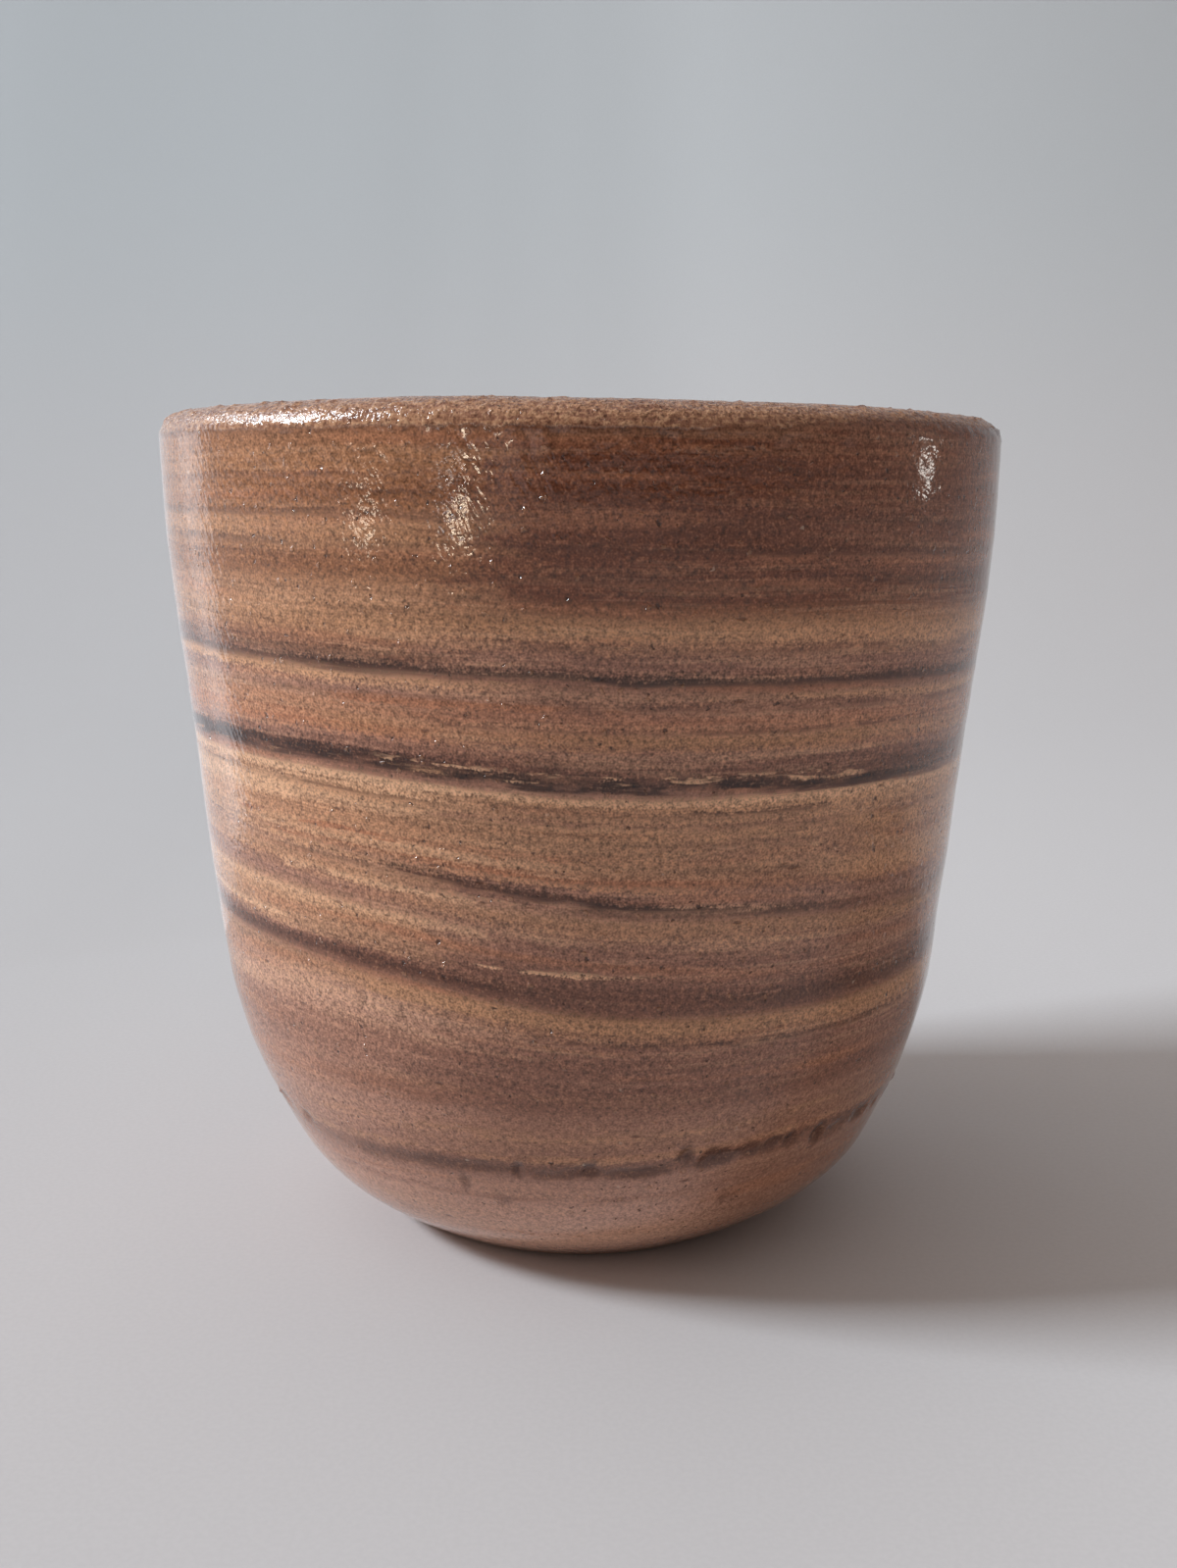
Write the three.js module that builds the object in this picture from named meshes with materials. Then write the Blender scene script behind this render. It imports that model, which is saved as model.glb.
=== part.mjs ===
// A handleless drinking mug, thrown in one piece from marbled stoneware.
// Millimetres, +Z up. The origin is the centre of the foot, on the plane the mug stands on.
//
// The mug is a single fired body: floor, wall, lip and foot are one clay wall of about 5 mm,
// so there is one solid. The wall rises from a small trimmed foot through a full round belly,
// then opens straight and slightly outward to a bevelled lip. The lip was cut by hand and runs
// a little slantwise: high at the front left, low at the back right.
import * as THREE from 'three';

// Driving dimensions
const HEIGHT = 87.0;            // foot plane to the crest of the lip
const RIM_RADIUS = 44.0;        // outer edge of the lip, the widest place
const RIM_EDGE_Z = 84.4;        // height of that edge
const LIP_FACET_R = 42.6;       // where the rounded outer edge turns into the flatter bevel
const LIP_FACET_Z = 86.38;
const CREST_RADIUS = 39.9;      // highest circle of the lip
const FOOT_OUTER_R = 21.0;      // flat ring that the mug stands on
const FOOT_INNER_R = 16.0;
const FOOT_RECESS = 1.8;        // depth of the hollow trimmed inside the foot ring
const FLOOR_TOP_Z = 7.2;        // inside floor at the centre
const LIP_FALL = 1.68;          // how much lower the lip is at its lowest place than at its highest
const LIP_HIGH_AT = -120;       // where it is highest, in degrees from +X towards +Y
const LIP_FALL_FROM_Z = 58.0;   // the wall below this height is turned true
const SEGMENTS = 80;            // around the axis

// Outside of the wall from the foot to the lip: [radius, height]
const OUTSIDE = [
  [21.6, 0.3], [23.2, 1.25], [25.3, 2.6], [27.3, 4.0], [29.2, 5.55], [31.85, 8.6],
  [34.1, 12.9], [36.1, 17.3], [37.6, 21.7], [38.85, 27.0], [39.5, 32.6], [40.05, 37.5],
  [40.6, 42.6], [41.3, 50.0], [42.15, 58.4], [43.08, 67.0], [43.73, 75.4], [43.98, 81.5],
];

// Inside of the wall from the lip down to the floor: [radius, height]
const INSIDE = [
  [38.72, 83.6], [38.45, 79.0], [37.85, 70.0], [37.0, 60.0], [36.2, 50.0], [35.5, 40.0],
  [34.7, 31.0], [33.6, 24.5], [31.9, 19.0], [29.5, 14.8], [26.2, 11.4], [22.0, 9.1],
  [17.0, 7.85], [11.0, 7.35], [5.0, FLOOR_TOP_Z],
];

// A smooth run through the given points, sampled more closely where they lie closer together
function smooth(points, samples) {
  const curve = new THREE.SplineCurve(points.map(([r, z]) => new THREE.Vector2(r, z)));
  return curve.getPoints(samples);
}

function lipPoints() {
  // a full rounded outer edge, a shallow bevel, a rounded crest and inner edge
  return [
    [RIM_RADIUS, RIM_EDGE_Z - 0.1], [RIM_RADIUS - 0.12, RIM_EDGE_Z + 0.6],
    [RIM_RADIUS - 0.38, RIM_EDGE_Z + 1.15], [RIM_RADIUS - 0.8, RIM_EDGE_Z + 1.6],
    [LIP_FACET_R, LIP_FACET_Z], [LIP_FACET_R - 1.05, LIP_FACET_Z + 0.36],
    [CREST_RADIUS + 0.6, HEIGHT - 0.08],
    [CREST_RADIUS, HEIGHT], [CREST_RADIUS - 0.45, HEIGHT - 0.17],
    [CREST_RADIUS - 0.85, HEIGHT - 0.7], [CREST_RADIUS - 1.08, HEIGHT - 1.8],
  ].map(([r, z]) => new THREE.Vector2(r, z));
}

// The closed section, from the axis under the floor, outward, up, over the lip and back to the axis
function section() {
  const recessRound = [
    [0, FOOT_RECESS], [8.0, FOOT_RECESS], [FOOT_INNER_R - 1.4, FOOT_RECESS - 0.2],
    [FOOT_INNER_R - 0.4, FOOT_RECESS - 0.9], [FOOT_INNER_R + 0.1, 0], [FOOT_OUTER_R, 0],
  ].map(([r, z]) => new THREE.Vector2(r, z));
  return [
    ...recessRound,
    ...smooth(OUTSIDE, 23),
    ...lipPoints(),
    ...smooth(INSIDE, 17),
    new THREE.Vector2(0, FLOOR_TOP_Z),
  ];
}

// LatheGeometry turns about Y, so the solid is turned to stand along Z
function latheSolid(points) {
  const geometry = new THREE.LatheGeometry(points, SEGMENTS);
  geometry.rotateX(Math.PI / 2);
  return geometry;
}

// Lowers the top of the wall by an amount that grows smoothly with height and follows the slant
function slantLip(geometry) {
  const high = THREE.MathUtils.degToRad(LIP_HIGH_AT);
  const position = geometry.attributes.position;
  for (let i = 0; i < position.count; i += 1) {
    const x = position.getX(i);
    const y = position.getY(i);
    const z = position.getZ(i);
    const rise = THREE.MathUtils.smoothstep(z, LIP_FALL_FROM_Z, RIM_EDGE_Z);
    const turn = Math.atan2(y, x) - high;
    position.setZ(i, z - rise * (LIP_FALL / 2) * (1 - Math.cos(turn)));
  }
  position.needsUpdate = true;
  geometry.computeVertexNormals();
  return geometry;
}

const mug = new THREE.Group();
mug.name = 'mug';

const glazedClay = new THREE.MeshStandardMaterial({ color: 0x8f6650, roughness: 0.42, metalness: 0.0 });
const cupBody = new THREE.Mesh(slantLip(latheSolid(section())), glazedClay);
cupBody.name = 'cup_body';
mug.add(cupBody);

export default mug;
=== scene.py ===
import math

import bpy
import numpy as np
from mathutils import Euler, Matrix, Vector


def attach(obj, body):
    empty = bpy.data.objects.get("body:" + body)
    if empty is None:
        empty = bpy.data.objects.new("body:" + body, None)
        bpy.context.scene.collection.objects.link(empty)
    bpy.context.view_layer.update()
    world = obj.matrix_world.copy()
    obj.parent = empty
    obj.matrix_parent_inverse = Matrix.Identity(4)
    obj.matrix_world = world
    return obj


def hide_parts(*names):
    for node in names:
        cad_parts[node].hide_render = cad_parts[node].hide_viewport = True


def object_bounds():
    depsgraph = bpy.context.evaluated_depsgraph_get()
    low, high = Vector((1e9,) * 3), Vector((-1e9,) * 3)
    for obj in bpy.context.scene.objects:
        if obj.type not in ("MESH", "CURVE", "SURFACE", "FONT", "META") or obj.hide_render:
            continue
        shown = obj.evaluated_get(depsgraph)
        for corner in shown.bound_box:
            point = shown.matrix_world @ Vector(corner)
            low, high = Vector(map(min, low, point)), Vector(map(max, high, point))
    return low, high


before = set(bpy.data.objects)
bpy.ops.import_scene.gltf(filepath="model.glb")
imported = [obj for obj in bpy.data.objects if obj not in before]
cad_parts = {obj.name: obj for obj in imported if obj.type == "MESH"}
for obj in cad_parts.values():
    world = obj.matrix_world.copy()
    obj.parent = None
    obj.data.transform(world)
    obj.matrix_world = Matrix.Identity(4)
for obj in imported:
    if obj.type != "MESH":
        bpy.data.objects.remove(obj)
cad_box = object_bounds()

# ---------------------------------------------------------------------------------------------
# Sizes, in millimetres. The mug is turned about Z, and -Y is the side towards the camera.
# ---------------------------------------------------------------------------------------------
HEIGHT = 87.0
RIM_RADIUS = 44.0
RIM_EDGE_Z = 84.4
LIP_FACET_R = 42.6
LIP_FACET_Z = 86.38
CREST_RADIUS = 39.9
FOOT_OUTER_R = 21.0
FOOT_INNER_R = 16.0
FOOT_RECESS = 1.8
FLOOR_TOP_Z = 7.2
LIP_FALL = 1.68
LIP_HIGH_AT = math.radians(-120.0)
LIP_FALL_FROM_Z = 58.0

OUTSIDE = [
    (21.6, 0.3), (23.2, 1.25), (25.3, 2.6), (27.3, 4.0), (29.2, 5.55), (31.85, 8.6),
    (34.1, 12.9), (36.1, 17.3), (37.6, 21.7), (38.85, 27.0), (39.5, 32.6), (40.05, 37.5),
    (40.6, 42.6), (41.3, 50.0), (42.15, 58.4), (43.08, 67.0), (43.73, 75.4), (43.93, 81.5),
]
LIP = [
    (RIM_RADIUS - 0.05, RIM_EDGE_Z - 0.2), (RIM_RADIUS - 0.14, RIM_EDGE_Z + 0.5),
    (RIM_RADIUS - 0.42, RIM_EDGE_Z + 1.1), (RIM_RADIUS - 0.86, RIM_EDGE_Z + 1.56),
    (LIP_FACET_R - 0.04, LIP_FACET_Z - 0.04), (LIP_FACET_R - 1.05, LIP_FACET_Z + 0.32),
    (CREST_RADIUS + 0.6, HEIGHT - 0.14),
    (CREST_RADIUS, HEIGHT - 0.08), (CREST_RADIUS - 0.45, HEIGHT - 0.25),
    (CREST_RADIUS - 0.85, HEIGHT - 0.75), (CREST_RADIUS - 1.08, HEIGHT - 1.8),
]
INSIDE = [
    (38.72, 83.6), (38.45, 79.0), (37.85, 70.0), (37.0, 60.0), (36.2, 50.0), (35.5, 40.0),
    (34.7, 31.0), (33.6, 24.5), (31.9, 19.0), (29.5, 14.8), (26.2, 11.4), (22.0, 9.1),
    (17.0, 7.85), (11.0, 7.35), (5.0, FLOOR_TOP_Z), (1.2, FLOOR_TOP_Z),
]
UNDER = [
    (1.0, FOOT_RECESS), (8.0, FOOT_RECESS), (FOOT_INNER_R - 1.4, FOOT_RECESS - 0.2),
    (FOOT_INNER_R - 0.4, FOOT_RECESS - 0.9), (FOOT_INNER_R + 0.1, 0.12),
    (FOOT_INNER_R + 0.45, 0.0), (FOOT_OUTER_R - 0.45, 0.0), (FOOT_OUTER_R, 0.06),
]

AROUND = 600          # vertices round the outside and the lip
AROUND_IN = 300       # round the inside
AROUND_UNDER = 150    # round the underside


# ---------------------------------------------------------------------------------------------
# Noise on arrays, always the same
# ---------------------------------------------------------------------------------------------
_rng = np.random.RandomState(7)
_perm = np.concatenate([_rng.permutation(256)] * 3)
_grad = _rng.normal(size=(256, 3))
_grad /= np.linalg.norm(_grad, axis=1)[:, None]


def perlin(x, y, z):
    """Gradient noise, about -1 to 1, on arrays of coordinates."""
    xi, yi, zi = np.floor(x).astype(int), np.floor(y).astype(int), np.floor(z).astype(int)
    xf, yf, zf = x - xi, y - yi, z - zi
    xi, yi, zi = xi & 255, yi & 255, zi & 255
    u, v, w = (t * t * t * (t * (t * 6 - 15) + 10) for t in (xf, yf, zf))

    def corner(dx, dy, dz):
        g = _grad[_perm[_perm[_perm[xi + dx] + yi + dy] + zi + dz]]
        return g[..., 0] * (xf - dx) + g[..., 1] * (yf - dy) + g[..., 2] * (zf - dz)

    x00 = corner(0, 0, 0) * (1 - u) + corner(1, 0, 0) * u
    x10 = corner(0, 1, 0) * (1 - u) + corner(1, 1, 0) * u
    x01 = corner(0, 0, 1) * (1 - u) + corner(1, 0, 1) * u
    x11 = corner(0, 1, 1) * (1 - u) + corner(1, 1, 1) * u
    return ((x00 * (1 - v) + x10 * v) * (1 - w) + (x01 * (1 - v) + x11 * v) * w) * 1.6


def smoothstep(x, lo, hi):
    t = np.clip((x - lo) / (hi - lo), 0.0, 1.0)
    return t * t * (3 - 2 * t)


# ---------------------------------------------------------------------------------------------
# The section, as rings from the centre of the underside, out, up, over the lip and down inside
# ---------------------------------------------------------------------------------------------
def spline(points, step=0.05):
    """A centripetal Catmull-Rom run through the points, resampled evenly."""
    p = np.array(points, float)
    p = np.vstack([2 * p[0] - p[1], p, 2 * p[-1] - p[-2]])
    out = []
    for i in range(1, len(p) - 2):
        p0, p1, p2, p3 = p[i - 1], p[i], p[i + 1], p[i + 2]
        t0 = 0.0
        t1 = t0 + np.linalg.norm(p1 - p0) ** 0.5
        t2 = t1 + np.linalg.norm(p2 - p1) ** 0.5
        t3 = t2 + np.linalg.norm(p3 - p2) ** 0.5
        n = max(2, int(np.linalg.norm(p2 - p1) / step))
        t = np.linspace(t1, t2, n, endpoint=False)[:, None]
        a1 = (t1 - t) / (t1 - t0) * p0 + (t - t0) / (t1 - t0) * p1
        a2 = (t2 - t) / (t2 - t1) * p1 + (t - t1) / (t2 - t1) * p2
        a3 = (t3 - t) / (t3 - t2) * p2 + (t - t2) / (t3 - t2) * p3
        b1 = (t2 - t) / (t2 - t0) * a1 + (t - t0) / (t2 - t0) * a2
        b2 = (t3 - t) / (t3 - t1) * a2 + (t - t1) / (t3 - t1) * a3
        out.append((t2 - t) / (t2 - t1) * b1 + (t - t1) / (t2 - t1) * b2)
    out.append(p[-2][None])
    return np.vstack(out)


def with_spacing(line, spacing):
    """Picks points along a fine line so that neighbours are spacing(r, z) apart."""
    d = np.concatenate([[0], np.cumsum(np.linalg.norm(np.diff(line, axis=0), axis=1))])
    want = np.array([spacing(r, z) for r, z in line])
    count = np.concatenate([[0], np.cumsum(np.diff(d) / ((want[1:] + want[:-1]) / 2))])
    n = max(2, int(round(count[-1])))
    at = np.linspace(0, count[-1], n + 1)
    return np.column_stack([np.interp(at, count, line[:, 0]), np.interp(at, count, line[:, 1])])


def outside_spacing(r, z):
    if z > 83.2:
        return 0.36
    if 12.8 < z < 18.6:
        return 0.48
    if z < 5.0:
        return 0.8
    return 1.06


outer_line = np.vstack([spline(OUTSIDE)[:-1], spline([OUTSIDE[-1]] + LIP + INSIDE[:1])[0:]])
outer = with_spacing(outer_line, outside_spacing)
INSIDE_FROM = 0.6     # the inside's own rings begin this far below the lip's last ring
inner = with_spacing(spline(INSIDE)[int(INSIDE_FROM / 0.05):], lambda r, z: 1.75 if z > 12 else 1.3)
under = with_spacing(spline(UNDER), lambda r, z: 1.1 if r < 13 else 0.5)


def place(section, n):
    """Ring arrays: angle, radius, height, normal in the section's plane and length along it."""
    d = np.gradient(section, axis=0)
    d /= np.linalg.norm(d, axis=1)[:, None]
    normal = np.column_stack([d[:, 1], -d[:, 0]])
    length = np.concatenate([[0], np.cumsum(np.linalg.norm(np.diff(section, axis=0), axis=1))])
    theta = np.arange(n) * 2 * math.pi / n
    shape = (len(section), n)
    return {
        "n": n,
        "theta": np.broadcast_to(theta, shape).copy(),
        "r": np.broadcast_to(section[:, :1], shape).copy(),
        "z": np.broadcast_to(section[:, 1:], shape).copy(),
        "nr": np.broadcast_to(normal[:, :1], shape).copy(),
        "nz": np.broadcast_to(normal[:, 1:], shape).copy(),
        "s": np.broadcast_to(length[:, None], shape).copy(),
    }


parts = {"under": place(under, AROUND_UNDER), "outer": place(outer, AROUND), "inner": place(inner, AROUND_IN)}

# Length along the outer line, measured from the outer edge of the lip: positive over the lip
edge_row = int(np.argmin(np.hypot(outer[:, 0] - (RIM_RADIUS - 0.2), outer[:, 1] - RIM_EDGE_Z)))
parts["outer"]["edge"] = parts["outer"]["s"] - parts["outer"]["s"][edge_row]
lip_length = float(parts["outer"]["edge"].max())
parts["inner"]["edge"] = lip_length + INSIDE_FROM + parts["inner"]["s"]
parts["under"]["edge"] = parts["outer"]["edge"].min() - (parts["under"]["s"].max() - parts["under"]["s"])


# ---------------------------------------------------------------------------------------------
# How the clay bands run: the height that a band has at the front, less its height here
# ---------------------------------------------------------------------------------------------
# For a band that crosses the front at the first number: angle from the front, to the right,
# and how far above its own height at that angle the front height lies
BAND_RUNS = [
    (-6.0, [(-180, 0), (0, 0), (180, 0)]),
    (15.5, [(-180, 0.0), (-110, 0.8), (-53, 0.9), (-22, -0.1), (0, 0.05), (20, -0.4), (31, -1.0),
            (59, -0.8), (110, -0.5), (180, 0.0)]),
    (33.0, [(-180, -0.8), (-145, -2.4), (-105, -3.7), (-72, -3.8), (-43, -3.5), (-26, -2.5),
            (-12, -1.1), (4, 0.5), (21, 0.95), (38, 1.4), (63, 1.6), (105, 1.8), (145, 1.0), (180, -0.8)]),
    (42.5, [(-180, -0.2), (-145, -1.8), (-100, -3.0), (-60, -2.9), (-35, -2.55), (-18, -1.65),
            (-4, -0.3), (6, 0.35), (19, 0.7), (36, 1.8), (58, 2.85), (100, 3.0), (145, 1.4), (180, -0.2)]),
    (53.1, [(-180, -0.3), (-150, -0.9), (-105, -1.5), (-62, -1.7), (-39, -1.9), (-23, -1.3),
            (-11, -0.75), (0, 0.0), (13, 0.45), (26, 0.35), (43, 0.5), (62, 1.2), (105, 1.4), (150, 0.5), (180, -0.3)]),
    (63.4, [(-180, 0.0), (-150, -0.5), (-110, -1.3), (-66, -1.33), (-46, -0.9), (-22, -0.4),
            (0, 0.0), (25, 0.6), (40, 0.95), (67, 2.0), (110, 1.6), (150, 0.6), (180, 0.0)]),
    (73.0, [(-180, 0), (-110, -0.7), (-60, -0.5), (0, 0), (60, 0.7), (110, 0.6), (180, 0)]),
    (86.0, [(-180, 0), (0, 0), (180, 0)]),
]


def band_level(theta, z):
    """theta from +X towards +Y, in radians. Returns the height at which this clay crosses the front."""
    front = np.degrees((theta + math.pi / 2 + math.pi) % (2 * math.pi) - math.pi)
    heights = np.array([k for k, _ in BAND_RUNS])
    grid = np.arange(-180, 181, 1.0)
    table = []
    for _, run in BAND_RUNS:
        a = np.array(run, float)
        raw = np.interp(grid, a[:, 0], a[:, 1])
        core = raw[:-1]
        kernel = np.exp(-0.5 * (np.arange(-24, 25) / 7.0) ** 2)
        kernel /= kernel.sum()
        wide = np.concatenate([core[-24:], core, core[:24]])
        soft = np.convolve(wide, kernel, mode="valid")
        table.append(np.concatenate([soft, soft[:1]]))
    table = np.array(table)
    cols = np.clip(front + 180, 0, 360)
    c0 = np.minimum(cols.astype(int), 359)
    f = cols - c0
    level = z.copy()
    for _ in range(3):
        row = np.interp(level, heights, np.arange(len(heights)))
        r0 = np.minimum(row.astype(int), len(heights) - 2)
        g = row - r0
        g = g * g * (3 - 2 * g)
        top = table[r0, c0] * (1 - f) + table[r0, c0 + 1] * f
        bot = table[r0 + 1, c0] * (1 - f) + table[r0 + 1, c0 + 1] * f
        level = z + top * (1 - g) + bot * g
    return level


for name, p in parts.items():
    z = p["z"]
    if name == "outer":
        x, y = p["r"] * np.cos(p["theta"]), p["r"] * np.sin(p["theta"])
        wander = 0.85 * perlin(x * 0.03 + 50, y * 0.03, z * 0.06) + 0.32 * perlin(x * 0.09, y * 0.09 + 31, z * 0.16)
        # on the side that the photograph shows, the bands are laid where they are seen
        seen = smoothstep(np.cos(p["theta"] + math.pi / 2), -0.1, 0.5)
        p["level"] = band_level(p["theta"], z) + wander * (1.6 - 1.25 * seen)
    elif name == "inner":
        # the floor continues the wall's bands as a spiral that winds in to the centre
        lost = np.clip(26.2 - p["r"], 0, None)
        turn = p["theta"] / (2 * math.pi)
        p["level"] = band_level(p["theta"], z + 1.2) - lost * 0.62
    else:
        lost = np.clip(21.0 - p["r"], 0, None)
        p["level"] = band_level(p["theta"], z) - lost * 0.55


# ---------------------------------------------------------------------------------------------
# The hand of the maker: slant, ovalness, throwing rings, the torn lip, drips and pits
# ---------------------------------------------------------------------------------------------
# Pits that are big enough to be shape: angle from the front to the right in degrees, height,
# half length round the mug, half height, depth, and how dark the stain in it is. With a negative
# depth it is a grain that stands proud, and the last number is how pale it is.
PITS = [
    (-35.6, 14.7, 2.2, 0.7, 0.05, 0.4), (-29.0, 15.0, 2.0, 0.6, 0.05, 0.4), (-22.0, 15.4, 3.0, 0.7, 0.06, 0.55),
    (-16.3, 15.7, 2.2, 0.6, 0.08, 0.6), (-10.0, 15.6, 0.6, 0.8, 0.32, 0.9), (-6.5, 15.0, 1.6, 0.5, 0.1, 0.5),
    (-3.5, 15.1, 1.2, 0.5, 0.12, 0.6), (-1.0, 15.7, 1.4, 0.6, 0.1, 0.6), (1.3, 15.8, 1.0, 0.8, 0.22, 0.85),
    (6.2, 15.2, 1.4, 0.55, 0.18, 0.8), (9.6, 15.1, 1.7, 0.6, 0.2, 0.85), (12.6, 15.7, 1.2, 0.4, 0.1, 0.6),
    (15.9, 16.8, 0.75, 0.75, 0.3, 0.9), (20.3, 16.1, 1.4, 1.0, 0.26, 0.9), (23.1, 16.1, 1.1, 0.9, 0.26, 0.9),
    (27.0, 16.3, 1.8, 0.7, 0.16, 0.75), (31.0, 16.4, 1.6, 0.7, 0.2, 0.8), (34.7, 16.3, 0.9, 0.7, 0.26, 0.85),
    (41.2, 15.7, 0.9, 1.1, 0.34, 0.95), (46.0, 15.5, 1.6, 0.7, 0.16, 0.6), (5.9, 20.4, 1.6, 0.4, 0.08, 0.55),
    (22.1, 20.6, 0.5, 0.6, 0.2, 0.7), (24.6, 10.3, 0.6, 0.6, 0.2, 0.7), (26.6, 10.2, 0.4, 0.4, 0.16, 0.5),
    (-13.1, 11.2, 0.5, 0.5, 0.14, 0.5), (-19.3, 13.4, 0.4, 0.7, 0.16, 0.6),
    (-8.9, 15.3, 0.45, 0.5, -0.22, 0.8), (-4.6, 15.6, 0.35, 0.35, -0.14, 0.5), (3.2, 16.1, 0.5, 0.4, -0.16, 0.6),
    (14.8, 15.7, 0.4, 0.4, -0.14, 0.5), (18.0, 16.6, 0.35, 0.6, -0.16, 0.6), (23.9, 16.9, 0.45, 0.4, -0.18, 0.7),
    (29.2, 16.7, 0.4, 0.4, -0.16, 0.6), (36.4, 16.7, 0.45, 0.4, -0.2, 0.8), (33.0, 16.1, 0.35, 0.35, -0.14, 0.5),
    (-24.0, 31.2, 0.9, 0.6, 0.2, 0.5), (-31.0, 32.6, 0.6, 0.6, 0.22, 0.5), (-22.0, 30.0, 0.6, 0.5, 0.16, 0.4),
    (-27.0, 61.2, 0.5, 0.5, 0.2, 0.6), (-3.0, 55.6, 0.45, 0.6, 0.24, 0.8), (24.6, 56.9, 0.5, 0.6, 0.24, 0.7),
    (120.0, 22.0, 0.8, 0.6, 0.24, 0.6), (150.0, 47.0, 0.9, 0.5, 0.2, 0.6), (-140.0, 30.0, 0.8, 0.6, 0.24, 0.6),
    (-115.0, 58.0, 0.6, 0.5, 0.22, 0.6),
]
# the same seam of pits goes on round the far side
for _i in range(46):
    _a = 54.0 + _i * 5.6 + float(_rng.uniform(-2.0, 2.0))
    if _i % 4 == 3:
        PITS.append((_a, 15.9 + float(_rng.uniform(-0.4, 0.5)), 0.42, 0.42, -0.16, 0.6))
    else:
        PITS.append((_a, 15.6 + float(_rng.uniform(-0.6, 0.6)), float(_rng.uniform(0.5, 1.9)), float(_rng.uniform(0.45, 0.9)),
                     float(_rng.uniform(0.1, 0.3)), float(_rng.uniform(0.4, 0.9))))
# Glaze that ran over the lip's edge: angle, how far down it hangs, half width, how proud
DRIPS = [(-8.2, 0.9, 0.42, 0.16), (-6.9, 1.7, 0.36, 0.2), (-5.2, 0.7, 0.34, 0.14), (-3.9, 1.5, 0.36, 0.18),
         (-12.6, 0.6, 0.3, 0.1), (-2.2, 11.0, 0.7, 0.05), (10.2, 0.6, 0.4, 0.1), (23.0, 0.8, 0.4, 0.1), (-17.5, 0.5, 0.3, 0.1),
         (31.5, 0.9, 0.34, 0.12), (97.0, 0.9, 0.4, 0.14), (-150.0, 1.1, 0.4, 0.16), (-147.5, 0.7, 0.4, 0.12)]


def relief(name, p):
    th, r, z, s, e = p["theta"], p["r"], p["z"], p["s"], p["edge"]
    x, y = r * np.cos(th), r * np.sin(th)
    front = (th + math.pi / 2 + math.pi) % (2 * math.pi) - math.pi
    out = np.zeros_like(r)
    if name == "outer":
        wall = 1 - smoothstep(e, -2.5, -0.4)
        wall *= smoothstep(z, 0.4, 3.0)
        rings = perlin(x * 0.012 + 3, y * 0.012, z * 0.24) * 0.055 + perlin(x * 0.03, y * 0.03 + 9, z * 0.62) * 0.022
        dents = perlin(x * 0.045 + 40, y * 0.045, z * 0.06) * 0.05
        skin = perlin(x * 0.5, y * 0.5, z * 0.5) * 0.010
        out += wall * (rings + dents + skin)
        # the lip: turned lines, torn grog, soft lumps
        out += 0.09 * np.exp(-(((e - 0.15) / 0.30) ** 2)) * (0.8 + 0.9 * perlin(x * 0.35, y * 0.35 + 70, z * 0))
        lip = smoothstep(e, 0.15, 0.9) * (1 - smoothstep(e, lip_length - 2.2, lip_length - 0.2))
        crest = 1 - 0.35 * smoothstep(e, 3.2, 5.0)
        lines = perlin(x * 0.04, y * 0.04 + 20, e * 2.0) * 0.045
        lumps = perlin(x * 0.7, y * 0.7, z * 0.7 + 30) * 0.045
        grog = perlin(x * 1.15 + 60, y * 1.15, z * 1.2)
        grog = np.clip(grog - 0.30, 0, None) * 0.46 + np.clip(-grog - 0.42, 0, None) * -0.3
        slow = perlin(x * 0.10 + 15, y * 0.10, z * 0.1) * 0.06
        out += lip * crest * (lines + lumps + grog + slow)
        # ragged edge
        ragged = np.exp(-((e / 0.35) ** 2)) * (perlin(x * 0.9 + 5, y * 0.9, z * 0 + 2.5) * 0.05 - 0.01)
        out += ragged
        for a, hang, half, proud in DRIPS:
            dx = (np.degrees(front) - a + 180) % 360 - 180
            dx = np.radians(dx) * r
            down = np.clip(-e / hang, -0.6, 2.0)
            body = np.exp(-((dx / half) ** 2)) * smoothstep(down, -0.6, 0.0) * (1 - smoothstep(down, 0.75, 1.15))
            out += body * proud * (0.75 + 0.5 * smoothstep(down, 0.1, 0.85))
        dx = np.radians((np.degrees(front) + 2.6 + 180) % 360 - 180) * r
        out -= 0.28 * np.exp(-((dx / 0.55) ** 2) - (((e + 0.55) / 0.5) ** 2))
    elif name == "inner":
        # finger rings inside, which wind in to a small swirl in the floor
        fade = smoothstep(p["s"], 3.0, 10.0)
        wall = 0.16 * np.sin(2 * math.pi * (s / 6.3) - th) * fade * smoothstep(r, 10.0, 26.0)
        swirl = 0.24 * np.sin(2 * math.pi * (r / 4.6) + th) * (1 - smoothstep(r, 12.0, 24.0)) * smoothstep(r, 0.5, 3.5)
        knob = 0.35 * np.exp(-((r / 2.0) ** 2))
        out += wall + swirl + knob
        out += perlin(x * 0.05 + 80, y * 0.05, z * 0.2) * 0.08 * fade
    else:
        inside = 1 - smoothstep(r, 14.0, 15.2)
        out += inside * (0.07 * perlin(r * 1.1, th * 0 + 0.5, th * 0) + 0.05 * perlin(x * 0.3, y * 0.3, z * 0))
        out -= smoothstep(r, 15.6, 16.6) * 0.0
    return out


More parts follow.
